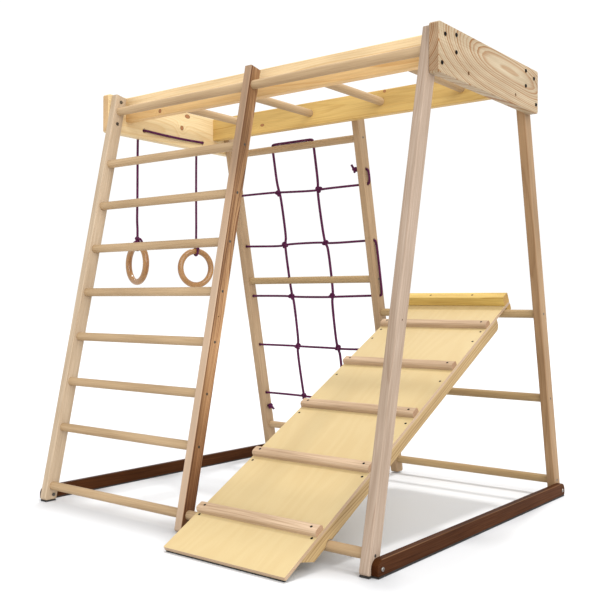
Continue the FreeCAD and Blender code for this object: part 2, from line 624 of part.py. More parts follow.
def make_ramp():
    screws = []
    for s in RAMP_SCREW_S:
        for x in (RAMP_X[0] + RAMP_SCREW_INSET, RAMP_X[1] - RAMP_SCREW_INSET):
            screws += ramp_screw(x, s, 0)
    for number in range(1, CLEAT_COUNT + 1):
        start = CLEAT_FIRST_S + (number - 1) * CLEAT_PITCH
        ends = (RAMP_X[0] + CLEAT_END_GAP, RAMP_X[1] - CLEAT_END_GAP)
        cleat = box(ends, (start, start + CLEAT[0]), (0, CLEAT[1]))
        over = [edge for edge in edges_along(cleat, Vec(1, 0, 0)) if edge.CenterOfMass.z > 1]
        cleat = cleat.makeFillet(CLEAT_ROUND, over)
        cleat_screws = []
        for x in (ends[0] + CLEAT_SCREW_INSET, ends[1] - CLEAT_SCREW_INSET):
            cleat_screws += ramp_screw(x, start + CLEAT[0] / 2, CLEAT[1])
        add_ramp(f"ramp_cleat_{number}", cut(cleat, cleat_screws))
        screws += cleat_screws
    bar = rounded(box(RAMP_X, TOP_BAR_S, (0, TOP_BAR)), 3, Vec(1, 0, 0))
    bar_screws = []
    for x in (RAMP_X[0] + TOP_BAR_SCREW_INSET, RAMP_X[1] - TOP_BAR_SCREW_INSET):
        bar_screws += ramp_screw(x, sum(TOP_BAR_S) / 2, TOP_BAR, TOP_BAR + SCREW_BITE)
    add_ramp("ramp_top_bar", cut(bar, bar_screws))
    screws += bar_screws
    low = -RAMP_PLY - HOOK_BAR
    hook = rounded(box(RAMP_X, HOOK_BAR_S, (low, -RAMP_PLY)), 2, Vec(1, 0, 0))
    add_ramp("ramp_hook_bar", cut(hook, screws))
    board = rounded(box(RAMP_X, (0, RAMP_LENGTH), (-RAMP_PLY, 0)), 3, Vec(0, 0, 1))
    add_ramp("ramp_board", cut(board, screws))
    add_ramp("ramp_left_rail", side_rail((RAMP_X[0], RAMP_X[0] + SIDE_RAIL), screws))
    add_ramp("ramp_right_rail", side_rail((RAMP_X[1] - SIDE_RAIL, RAMP_X[1]), screws))
    strip_x = (RAMP_X[0] + RAMP_STRIP_INSET, RAMP_X[1] - RAMP_STRIP_INSET)
    add_ramp("ramp_foot_strip", box(strip_x, (0, RAMP_STRIP_LENGTH), (-STRIP_DROP, -RAMP_PLY)))


def write():
    os.makedirs("parts", exist_ok=True)
    for name, solids in NODES.items():
        shape = solids[0] if len(solids) == 1 else Part.makeCompound(solids)
        shape = shape.copy()
        shape.translate(ORIGIN * -1)
        shape.exportStep(f"parts/{name}.step")
    whole = Part.makeCompound([solid for solids in NODES.values() for solid in solids]).BoundBox
    print(f"{len(NODES)} nodes, ramp slope {math.degrees(SLOPE):.2f} degrees")
    print(f"X {whole.XMin:.1f} to {whole.XMax:.1f}, Y {whole.YMin:.1f} to {whole.YMax:.1f}")
    print(f"top {whole.ZMax:.1f}")


make_posts()
make_rods()
make_top()
base_rail("left_base_rail", -1)
base_rail("right_base_rail", 1)
make_net()
make_rings()
make_ramp()
write()
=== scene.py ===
import math
import random

import bpy
import numpy as np
from mathutils import Matrix, Vector


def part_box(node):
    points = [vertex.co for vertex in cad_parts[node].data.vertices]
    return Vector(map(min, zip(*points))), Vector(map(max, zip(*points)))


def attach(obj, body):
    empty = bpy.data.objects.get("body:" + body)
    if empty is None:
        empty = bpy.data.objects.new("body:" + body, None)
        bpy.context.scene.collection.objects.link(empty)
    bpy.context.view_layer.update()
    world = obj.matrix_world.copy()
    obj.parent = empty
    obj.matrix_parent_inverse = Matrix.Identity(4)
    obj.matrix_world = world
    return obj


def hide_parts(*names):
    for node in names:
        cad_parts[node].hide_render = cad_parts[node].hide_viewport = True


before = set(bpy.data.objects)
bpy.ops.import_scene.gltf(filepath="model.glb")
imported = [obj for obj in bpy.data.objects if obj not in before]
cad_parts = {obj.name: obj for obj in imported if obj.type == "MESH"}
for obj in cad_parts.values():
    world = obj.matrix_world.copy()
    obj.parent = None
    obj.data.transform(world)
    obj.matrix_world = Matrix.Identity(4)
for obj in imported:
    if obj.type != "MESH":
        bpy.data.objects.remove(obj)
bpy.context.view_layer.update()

# The frame's own middle on the floor, in the row frame. Lengths are given in millimetres from it.
MM = 0.001
MIDDLE = Vector((37.0, 66.5, 0.0))
LEAN = math.radians(11.95)
FOOT_Y = 560.4            # outer face of a post at floor level
POST_DEPTH = 43.0

X, Y, Z = Vector((1, 0, 0)), Vector((0, 1, 0)), Vector((0, 0, 1))
SLOPE = math.radians(28.18)
UP_SLOPE = Vector((0, math.cos(SLOPE), math.sin(SLOPE)))
OFF_SLOPE = Vector((0, -math.sin(SLOPE), math.cos(SLOPE)))


def at(x, y, z):
    """A point measured from the frame's middle, in the row frame in metres."""
    return (Vector((x, y, z)) + MIDDLE) * MM


def up_the_lean(side):
    """Up along a post. The side is 1 for the back plane and -1 for the front one, here and below."""
    return Vector((0, -side * math.sin(LEAN), math.cos(LEAN)))


def out_of_lean(side):
    return Vector((0, side * math.cos(LEAN), math.sin(LEAN)))


def on_plane(side, x, z, up=0.0, out=0.0):
    """A point in the posts' centre plane at a height, moved up along the lean and out of the plane."""
    y = side * (FOOT_Y - z * math.tan(LEAN) - POST_DEPTH / 2 / math.cos(LEAN))
    shift = up_the_lean(side) * up + out_of_lean(side) * out
    return at(x + shift.x, y + shift.y, z + shift.z)


# ---- Camera

CAMERA_PLACE = at(1672.4, -2165.0, 610.8)
CAMERA_YAW, CAMERA_PITCH, CAMERA_ROLL = (math.radians(a) for a in (38.17, 0.23, 0.25))
CAMERA_LENS = 52.1
CAMERA_SENSOR = 36.0


def make_camera():
    data = bpy.data.cameras.new("camera")
    data.lens = CAMERA_LENS
    data.sensor_width = CAMERA_SENSOR
    camera = bpy.data.objects.new("camera", data)
    turn = Matrix.Rotation(CAMERA_YAW, 4, "Z") @ Matrix.Rotation(math.pi / 2 + CAMERA_PITCH, 4, "X")
    camera.matrix_world = Matrix.Translation(CAMERA_PLACE) @ turn @ Matrix.Rotation(CAMERA_ROLL, 4, "Z")
    bpy.context.scene.collection.objects.link(camera)
    bpy.context.scene.camera = camera


# ---- Ropes

# Each route is a list of points in millimetres from the frame's middle, and its rope is a smooth line
# that has them as control points. The net's points are x and z in the back posts' plane, where a third
# and a fourth number move one up along the lean and out of the plane.
NET_ROPE_R = 4.0
ROWS_ROUTE = [
    (-47, 1092), (-42, 1082), (-34, 1073), (-12, 1073), (13, 1073), (19, 1069), (21.5, 1048), (19, 1027),
    (13, 1022.5), (-30, 1022), (-185, 1020.5), (-213, 1016.5), (-374, 1022.5), (-402, 1024.5), (-560, 1024.5),
    (-604, 1023), (-611, 1018), (-612, 981), (-612, 874), (-611, 837), (-604, 832),
    (-560, 831), (-402, 826), (-374, 833), (-213, 833.5), (-185, 828), (-30, 831),
    (13, 832), (19, 828), (21, 790), (21, 682), (19, 644), (13, 640),
    (-30, 639.5), (-185, 636), (-213, 634.5), (-374, 635.5), (-402, 639.5), (-560, 640),
    (-604, 640), (-611, 635), (-612, 598), (-612, 490), (-611, 453), (-604, 448),
    (-560, 448.5), (-402, 448.5), (-374, 447), (-213, 446), (-185, 443.5), (-30, 447),
    (13, 448), (19, 443), (19, 400), (17.3, 315.3, 17.4, 17.4), (17.3, 315.3, -17.4, 17.4), (19, 263),
    (13, 255), (-30, 254.5), (-185, 252), (-213, 251), (-374, 252), (-402, 254.5), (-560, 255.5),
    (-604, 255), (-611, 250), (-612, 229), (-611, 205), (-604, 201), (-576, 201), (-560, 197), (-550, 190)]
DROP_ROPE_R = 4.5
DROPS_ROUTE = [
    (-388, 255), (-390, 268), (-393, 430), (-384, 460), (-381, 480), (-378, 622), (-386, 650), (-388, 820),
    (-383, 842), (-377, 860), (-378, 1005), (-384, 1032), (-388, 1060), (-388, 1177.4, -30),
    (-388, 1177.4, 12), (-383, 1177.4, 17.8), (-345, 1177.4, 17.8), (-240, 1177.4, 17.8),
    (-204, 1177.4, 17.8), (-199, 1177.4, 12), (-199, 1177.4, -30), (-199, 1060), (-201, 1032), (-207, 1003),
    (-203, 845), (-196, 826), (-189, 808), (-190, 655), (-196, 632), (-201, 615), (-204, 462),
    (-196, 436), (-192, 420), (-197, 268), (-199, 255)]
RING_ROPE_R = 4.0
LINK_ROUTE = [
    (-632, -143, 1205), (-612, -143, 1205), (-604, -143, 1205), (-599.7, -138, 1205), (-598, -100, 1203),
    (-597, 0, 1201), (-598, 100, 1203), (-599.7, 138, 1205), (-604, 143, 1205), (-612, 143, 1205),
    (-632, 143, 1205)]
FRONT_HANG_ROUTE = [
    (-632, -143, 1206), (-636, -143, 1205), (-637, -143, 1195), (-638, -143, 1150), (-638, -143, 1050),
    (-637, -144, 950), (-636, -146, 895), (-637, -142, 862), (-637, -143, 831)]
BACK_HANG_ROUTE = [
    (-632, 143, 1206), (-636, 143, 1205), (-637, 143, 1195), (-638, 143, 1150), (-638, 143, 1050),
    (-638, 144, 950), (-637, 144, 880), (-637, 143, 826)]

NET_ROWS_Z = (1021.0, 830.0, 638.0, 447.0, 254.0)
NET_DROPS_X = (-388.0, -199.0)
NET_KNOT_SIZE = 13.5
STOPPER_SIZE = 12.0
STOPPERS = ((-34.0, 1074.0), (-565.5, 200.0))
RING_ROPE_X = -637.0
RING_MIDDLE_R = 63.0
RING_PLACES = {"front": (-143.0, 746.0), "back": (143.0, 741.0)}
RING_TURN = {"front": math.radians(76.6), "back": math.radians(-17.7)}
RING_LOOP_R = 15.5
RING_KNOT_RISE = 22.5
RING_KNOT_SIZE = 11.0

CURVE_STEPS = 24          # points that a curve is drawn with between two control points
ROPE_STEP = 1.6 * MM      # from one ring of a rope's mesh to the next
SAME_PLACE = 1e-7         # points nearer than this are one
ROPE_SIDES = 18
STRANDS = 3               # braid crossings round half a rope
BRAID_PITCH = 21.0 * MM
BRAID_DEPTH = 0.07        # share of the rope's radius
SKEW = (0.31, 0.52, 0.79)  # a direction that no rope starts in
KNOT_POINTS = 72
LOOP_POINTS = 48
KNOT_TILT = 0.5           # radians that a net knot may lean either way
TAIL = ((0, 0), (8, 4), (15, -2), (20, -12), (22, -20))   # out from the knot, and up
TIE_THIN = 0.9            # a ring's tie is pulled tight, so its rope is thinner by this factor
LOOP_THIN = 0.95


def nurbs_points(name, route):
    """Points along a smooth line that has the route's points as its control points."""
    data = bpy.data.curves.new(name, "CURVE")
    data.dimensions = "3D"
    data.resolution_u = CURVE_STEPS
    spline = data.splines.new("NURBS")
    spline.points.add(len(route) - 1)
    for point, place in zip(spline.points, route):
        point.co = (*place, 1.0)
    spline.order_u = 3
    spline.use_endpoint_u = True
    carrier = bpy.data.objects.new(name, data)
    mesh = bpy.data.meshes.new_from_object(carrier)
    points = np.array([v.co for v in mesh.vertices], float)
    bpy.data.objects.remove(carrier)
    bpy.data.meshes.remove(mesh)
    bpy.data.curves.remove(data)
    return points


def even_points(points, closed):
    """The same line with points a step apart, and its length."""
    if closed:
        points = np.vstack([points, points[:1]])
    lengths = np.linalg.norm(np.diff(points, axis=0), axis=1)
    keep = np.concatenate([[True], lengths > SAME_PLACE])
    points = points[keep]
    along = np.concatenate([[0], np.cumsum(np.linalg.norm(np.diff(points, axis=0), axis=1))])
    count = max(4, int(round(along[-1] / ROPE_STEP)))
    wanted = np.linspace(0, along[-1], count + 1)
    line = np.stack([np.interp(wanted, along, points[:, k]) for k in range(3)], axis=1)
    return (line[:-1] if closed else line), along[-1]


def braided_tube(name, points, radius, closed=False):
    """A braided rope round a line: two sets of strands cross over each other on its surface. Returns the
    piece and its line."""
    line, length = even_points(points, closed)
    count = len(line)
    ahead = np.roll(line, -1, axis=0) - np.roll(line, 1, axis=0)
    if not closed:
        ahead[0] = line[1] - line[0]
        ahead[-1] = line[-1] - line[-2]
    ahead /= np.linalg.norm(ahead, axis=1)[:, None]
    side = np.cross(ahead[0], SKEW)
    side /= np.linalg.norm(side)
    sides = []
    for direction in ahead:
        side = side - direction * (side @ direction)
        side /= np.linalg.norm(side)
        sides.append(side)
    sides = np.array(sides)
    others = np.cross(ahead, sides)
    angle = np.linspace(0, 2 * math.pi, ROPE_SIDES, endpoint=False)
    travel = np.linspace(0, length, count)[:, None] * 2 * math.pi / BRAID_PITCH
    if closed:
        travel = np.round(length / BRAID_PITCH) * 2 * math.pi * (np.arange(count) / count)[:, None]
    one_way = np.abs(np.sin(STRANDS * angle + travel * STRANDS))
    other_way = np.abs(np.sin(STRANDS * angle - travel * STRANDS))
    reach = radius * MM * (1 - BRAID_DEPTH + 2 * BRAID_DEPTH * np.sqrt(one_way * other_way))
    ring = np.cos(angle)[None, :, None] * sides[:, None, :]
    ring = ring + np.sin(angle)[None, :, None] * others[:, None, :]
    verts = (line[:, None, :] + ring * reach[:, :, None]).reshape(-1, 3)
    faces = []
    for k in range(count if closed else count - 1):
        start, end = k * ROPE_SIDES, (k + 1) % count * ROPE_SIDES
        for s in range(ROPE_SIDES):
            t = (s + 1) % ROPE_SIDES
            faces.append((start + s, start + t, end + t, end + s))
    if not closed:
        faces.append(tuple(range(ROPE_SIDES))[::-1])
        faces.append(tuple((count - 1) * ROPE_SIDES + s for s in range(ROPE_SIDES)))
    mesh = bpy.data.meshes.new(name)
    mesh.from_pydata([tuple(v) for v in verts], [], faces)
    mesh.polygons.foreach_set("use_smooth", [True] * len(faces))
    piece = bpy.data.objects.new(name, mesh)
    bpy.context.scene.collection.objects.link(piece)
    return piece, line


def overhand_knot(name, centre, size, radius, turn):
    """A tight overhand knot as a ball: a closed trefoil of the rope, squeezed a little flat."""
    scale = (size - radius) / 3 * MM
    points = []
    for k in range(KNOT_POINTS):
        t = 2 * math.pi * k / KNOT_POINTS
        across = math.sin(t) + 2 * math.sin(2 * t)
        along = math.cos(t) - 2 * math.cos(2 * t)
        spot = Vector((across, along, -1.5 * math.sin(3 * t)))
        points.append(centre + turn @ (spot * scale))
    return braided_tube(name, np.array(points), radius, closed=True)[0]


def join(name, pieces):
    """Joins meshes into one piece."""
    with bpy.context.temp_override(active_object=pieces[0], selected_editable_objects=pieces):
        bpy.ops.object.join()
    pieces[0].name = name
    return pieces[0]


def net_rope(name, node, route, radius):
    """A rope of the net, routed in the back posts' plane."""
    places = [on_plane(1, *point) for point in route]
    return free_rope(name, node, "frame", places, radius)


def ring_rope(name, node, body, route):
    """A part of the rope that the rings hang from."""
    places = [at(*point) for point in route]
    return free_rope(name, node, body, places, RING_ROPE_R)


def free_rope(name, node, body, places, radius):
    """A braided rope along a route, attached to a body, with the CAD node that it stands for hidden."""
    rope, line = braided_tube(name, nurbs_points(name, places), radius)
    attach(rope, body)
    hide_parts(node)
    return rope


def make_net_knots():
    """Knots where the ropes of the net cross, and a stopper knot at each end of the rows' rope."""
    places = [(x, z, NET_KNOT_SIZE) for z in NET_ROWS_Z for x in NET_DROPS_X]
    places += [(x, z, STOPPER_SIZE) for x, z in STOPPERS]
    knots = []
    for x, z, size in places:
        turn = Matrix.Rotation(LEAN, 3, "X") @ Matrix.Rotation(math.pi / 2, 3, "X")
        turn = turn @ Matrix.Rotation(random.uniform(0, 2 * math.pi), 3, "Z")
        turn = turn @ Matrix.Rotation(random.uniform(-KNOT_TILT, KNOT_TILT), 3, "X")
        knots.append(overhand_knot("knot", on_plane(1, x, z), size, NET_ROPE_R, turn))
    return join("net_crossing_knots", knots)


def make_ropes():
    random.seed(7)
    knots = make_net_knots()
    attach(knots, "frame")
    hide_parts("net_knots")
    ropes = [knots,
             net_rope("net_rows", "net_rope_rows", ROWS_ROUTE, NET_ROPE_R),
             net_rope("net_drops", "net_rope_drops", DROPS_ROUTE, DROP_ROPE_R),
             ring_rope("ring_link", "ring_rope_link", "frame", LINK_ROUTE),
             ring_rope("front_ring_drop", "ring_rope_front", "front_ring_rope", FRONT_HANG_ROUTE),
             ring_rope("back_ring_drop", "ring_rope_back", "back_ring_rope", BACK_HANG_ROUTE)]
    for place in RING_PLACES:
        tied = make_ring_knot(place)
        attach(tied, f"{place}_ring")
        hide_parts(f"ring_knot_{place}")
        ropes.append(tied)
    return ropes


def make_ring_knot(place):
    """The loop round the ring, the knot above it and the rope's short tail."""
    turn = RING_TURN[place]
    normal = Vector((math.cos(turn), math.sin(turn), 0))
    y, z = RING_PLACES[place]
    top = at(RING_ROPE_X, y, z + RING_MIDDLE_R)
    knot = top + Z * RING_KNOT_RISE * MM
    loop = [top + (normal * math.cos(a) + Z * math.sin(a)) * RING_LOOP_R * MM
            for a in (2 * math.pi * k / LOOP_POINTS for k in range(LOOP_POINTS))]
    pieces = [braided_tube("loop", np.array(loop), RING_ROPE_R * LOOP_THIN, closed=True)[0]]
    flat = Matrix.Rotation(turn, 3, "Z") @ Matrix.Rotation(math.pi / 2, 3, "Y")
    pieces.append(overhand_knot("ball", knot, RING_KNOT_SIZE, RING_ROPE_R * TIE_THIN, flat))
    tail = [knot + (normal * out + Z * rise) * MM for out, rise in TAIL]
    pieces.append(braided_tube("tail", nurbs_points("tail_line", tail), RING_ROPE_R * TIE_THIN)[0])
    return join(f"{place}_ring_tie", pieces)


# ---- Materials

class Shader:
    """Short ways to build a material's nodes."""

    def __init__(self, name, roughness=0.5, **settings):
        self.material = bpy.data.materials.new(name)
        self.material.use_nodes = True
        self.tree = self.material.node_tree
        self.surface = self.tree.nodes["Principled BSDF"]
        self.surface.inputs["Roughness"].default_value = roughness
        for key, value in settings.items():
            self.surface.inputs[key.replace("_", " ")].default_value = value

    def node(self, kind, inputs, output=0, **attributes):
        node = self.tree.nodes.new(kind)
        for key, value in attributes.items():
            setattr(node, key, value)
        for key, value in inputs.items():
            if isinstance(value, bpy.types.NodeSocket):
                self.tree.links.new(value, node.inputs[key])
            else:
                node.inputs[key].default_value = value
        return node.outputs[output]

    def math(self, operation, *values, clamp=False):
        return self.node("ShaderNodeMath", dict(enumerate(values)), operation=operation, use_clamp=clamp)

    def length(self, first, second):
        squares = (self.math("MULTIPLY", first, first), self.math("MULTIPLY", second, second))
        return self.math("SQRT", self.math("ADD", *squares))

    def mix(self, share, first, second, blend="MIX"):
        inputs = {"Factor": share, 6: first, 7: second}
        return self.node("ShaderNodeMix", inputs, 2, data_type="RGBA", blend_type=blend)

    def tint(self, share, colour, glaze):
        """Multiplies a colour by another, by a share of the full effect."""
        return self.mix(share, colour, self.mix(1.0, colour, glaze, "MULTIPLY"))

    def ramp(self, value, stops):
        """Maps a value to a grey through (place, grey) stops."""
        out = self.node("ShaderNodeValToRGB", {"Fac": value})
        elements = out.node.color_ramp.elements
        while len(elements) < len(stops):
            elements.new(0.5)
        for element, (place, grey) in zip(elements, stops):
            element.position = place
            element.color = (grey, grey, grey, 1)
        return out

    def span(self, value, low, high, first=0.0, last=1.0):
        """Maps low..high smoothly onto first..last."""
        inputs = {"Value": value, "From Min": low, "From Max": high, "To Min": first, "To Max": last}
        return self.node("ShaderNodeMapRange", inputs, interpolation_type="SMOOTHSTEP")

    def noise(self, vector, seed, scale=1.0, detail=2.0, rough=0.5):
        inputs = {"Vector": vector, "W": seed, "Scale": scale, "Detail": detail, "Roughness": rough}
        return self.node("ShaderNodeTexNoise", inputs, noise_dimensions="4D")

    def place(self, grain, width, origin):
        """Object coordinates from an origin, along the grain, across the width and through the thickness."""
        coordinates = self.node("ShaderNodeTexCoord", {}, "Object")
        turn = Matrix([grain, width, grain.cross(width)])
        inputs = {"Vector": coordinates, "Location": -(turn @ origin), "Rotation": turn.to_euler()}
        return self.node("ShaderNodeMapping", inputs)

    def stretch(self, vector, factors):
        return self.node("ShaderNodeVectorMath", {0: vector, 1: factors}, operation="MULTIPLY")

    def parts(self, vector):
        node = self.node("ShaderNodeSeparateXYZ", {"Vector": vector}).node
        return node.outputs[0], node.outputs[1], node.outputs[2]

    def colour(self, socket):
        self.tree.links.new(socket, self.surface.inputs["Base Color"])

    def gloss(self, socket):
        self.tree.links.new(socket, self.surface.inputs["Roughness"])

    def bump(self, height, strength, distance):
        inputs = {"Height": height, "Strength": strength, "Distance": distance}
        self.tree.links.new(self.node("ShaderNodeBump", inputs), self.surface.inputs["Normal"])


# A wood's early and late ring colours, ring width in metres, how sharp the rings are, how much the
# fibres and the broad tone vary, roughness, and how far the rings wander in metres
WOODS = {
    "beech": dict(early=(0.434, 0.334, 0.257), late=(0.324, 0.219, 0.151), width=0.0032, sharp=0.45,
                  fibre=0.28, tone=0.18, rough=0.55, wander=0.010),
    "birch": dict(early=(0.506, 0.394, 0.275), late=(0.377, 0.259, 0.161), width=0.0034, sharp=0.4,
                  fibre=0.26, tone=0.16, rough=0.55, wander=0.010),
    "amber": dict(early=(0.377, 0.246, 0.136), late=(0.258, 0.143, 0.064), width=0.0034, sharp=0.45,
                  fibre=0.26, tone=0.22, rough=0.55, wander=0.010),
    "ash": dict(early=(0.428, 0.297, 0.176), late=(0.316, 0.189, 0.097), width=0.0034, sharp=0.4,
                fibre=0.24, tone=0.18, rough=0.55, wander=0.010),
    "heart": dict(early=(0.436, 0.257, 0.127), late=(0.146, 0.049, 0.017), width=0.0030, sharp=0.85,
                  fibre=0.34, tone=0.50, rough=0.5, wander=0.012),
    "rod": dict(early=(0.469, 0.33, 0.189), late=(0.366, 0.232, 0.119), width=0.0042, sharp=0.4,
                fibre=0.20, tone=0.16, rough=0.55, wander=0.006),
    "old_rod": dict(early=(0.41, 0.285, 0.145), late=(0.31, 0.20, 0.085), width=0.0042, sharp=0.4,
                    fibre=0.20, tone=0.18, rough=0.55, wander=0.006),
    "golden": dict(early=(0.629, 0.426, 0.145), late=(0.485, 0.261, 0.062), width=0.0055, sharp=0.65,
                   fibre=0.18, tone=0.20, rough=0.5, wander=0.012),
    "honey": dict(early=(0.821, 0.632, 0.372), late=(0.674, 0.415, 0.173), width=0.0055, sharp=0.6,
                  fibre=0.18, tone=0.16, rough=0.5, wander=0.012),
    "knotty": dict(early=(0.749, 0.589, 0.339), late=(0.595, 0.368, 0.144), width=0.0050, sharp=0.5,
                   fibre=0.16, tone=0.14, rough=0.5, wander=0.014),
    "cathedral": dict(early=(0.499, 0.408, 0.275), late=(0.294, 0.133, 0.038), width=0.0100, sharp=1.15,
                      fibre=0.20, tone=0.14, rough=0.5, wander=0.012),
    "cleat": dict(early=(0.549, 0.398, 0.266), late=(0.392, 0.262, 0.157), width=0.0035, sharp=0.45,
                  fibre=0.32, tone=0.24, rough=0.55, wander=0.008),
    "yellow": dict(early=(0.679, 0.488, 0.144), late=(0.484, 0.284, 0.062), width=0.0050, sharp=0.65,
                   fibre=0.22, tone=0.20, rough=0.5, wander=0.010),
    "larch": dict(early=(0.468, 0.328, 0.156), late=(0.243, 0.137, 0.052), width=0.0060, sharp=0.8,
                  fibre=0.24, tone=0.24, rough=0.5, wander=0.012),
    "stained": dict(early=(0.078, 0.026, 0.0075), late=(0.042, 0.0130, 0.004), width=0.0050, sharp=0.5,
                    fibre=0.40, tone=0.35, rough=0.5, wander=0.010),
    "varnished": dict(early=(0.38, 0.194, 0.063), late=(0.275, 0.12, 0.033), width=0.0040, sharp=0.4,
                      fibre=0.18, tone=0.18, rough=0.16, wander=0.006),
}
WOOD_SHINE = 0.22         # specular level of sanded timber
OTHER_SHINES = {"varnished": 0.7, "stained": 0.04}
CROWDED = 0.037           # radius in metres past which a bowed board's rings are twice as dense

# Waves of noise per metre along the grain, across the width and through the thickness
SWAY_WAVES = (1.6, 5.0, 5.0)
TONE_WAVES = (3.0, 22.0, 22.0)
STREAK_WAVES = (2.2, 95.0, 95.0)
FIBRE_WAVES = (9.0, 620.0, 620.0)

STREAK_BEND = 0.55        # rings that a streak moves a ring's line by
RING_PROFILE = ((0.0, 0.10), (0.50, 0.22), (0.84, 0.85), (0.93, 1.0), (1.0, 0.10))   # darkness in a ring
PALEST_RING, DARKEST_RING = 0.45, 1.3  # factors on how sharp a wood's rings are
GREEN_SHADE, BLUE_SHADE = 1.15, 1.35   # powers that make a darker shade a warmer one
END_GRAIN = (0.78, 0.67, 0.60, 1)
WOOD_BUMP = 0.25 * MM
KNOT_REACH = 0.16         # how quickly the rings round a knot straighten
KNOT_PULL = 2.6           # rings that a knot pushes aside
KNOT_RAGGED = 0.35        # knot sizes that a streak moves a knot's outline by
KNOT_RINGS = 5.0
KNOT_RIM = (0.20, 0.075, 0.03, 1)
KNOT_HEART = (0.42, 0.19, 0.08, 1)


def pith_distance(sh, look, local, seed, pith, tilt, bow):
    """How far a place is from the tree's middle, which wanders a little along the piece."""
    x, y, z = sh.parts(local)
    slow = sh.stretch(local, SWAY_WAVES)
    sway_y = sh.math("SUBTRACT", sh.noise(slow, seed, detail=1.0), 0.5)
    sway_z = sh.math("SUBTRACT", sh.noise(slow, seed + 11.0, detail=1.0), 0.5)
    wide = sh.math("SUBTRACT", sh.math("MULTIPLY_ADD", x, tilt[0], y), pith[0])
    deep = sh.math("SUBTRACT", sh.math("MULTIPLY_ADD", x, tilt[1], z), pith[1])
    if bow[1]:
        past = sh.math("SUBTRACT", x, bow[0])
        deep = sh.math("MULTIPLY_ADD", sh.math("MULTIPLY", past, past), bow[1], deep)
    wide = sh.math("MULTIPLY_ADD", sway_y, look["wander"] * 4, wide)
    deep = sh.math("MULTIPLY_ADD", sway_z, look["wander"] * 4, deep)
    radius = sh.length(wide, deep)
    if bow[1]:
        crowding = sh.math("MAXIMUM", sh.math("SUBTRACT", radius, CROWDED), 0.0)
        radius = sh.math("ADD", radius, crowding)
    return radius


def bend_round_knots(sh, rings, x, y, streaks, knots):
    """Moves the rings aside round each knot. The second result is how far the nearest knot is, in sizes of
    that knot, or None for clear timber."""
    nearest = None
    for knot_x, knot_y, size, stretch in knots:
        dx = sh.math("DIVIDE", sh.math("SUBTRACT", x, knot_x), size * stretch)
        dy = sh.math("DIVIDE", sh.math("SUBTRACT", y, knot_y), size)
        far = sh.length(dx, dy)
        pull = sh.math("EXPONENT", sh.math("MULTIPLY", sh.math("MULTIPLY", far, far), -KNOT_REACH))
        rings = sh.math("MULTIPLY_ADD", pull, KNOT_PULL, rings)
        ragged = sh.math("MULTIPLY_ADD", sh.math("SUBTRACT", streaks, 0.5), KNOT_RAGGED, far)
        nearest = ragged if nearest is None else sh.math("MINIMUM", nearest, ragged)
    return rings, nearest


def knot_colours(sh, colour, nearest):
    """A knot's own rings inside a dark rim, over the wood's colour."""
    knot_rings = sh.math("FRACT", sh.math("MULTIPLY", nearest, KNOT_RINGS))
    heart = sh.mix(sh.span(knot_rings, 0.0, 1.0, 0.0, 0.6), KNOT_HEART, KNOT_RIM)
    rim = sh.mix(sh.span(nearest, 0.72, 0.9), heart, KNOT_RIM)
    return sh.mix(sh.span(nearest, 0.92, 1.12), rim, colour)


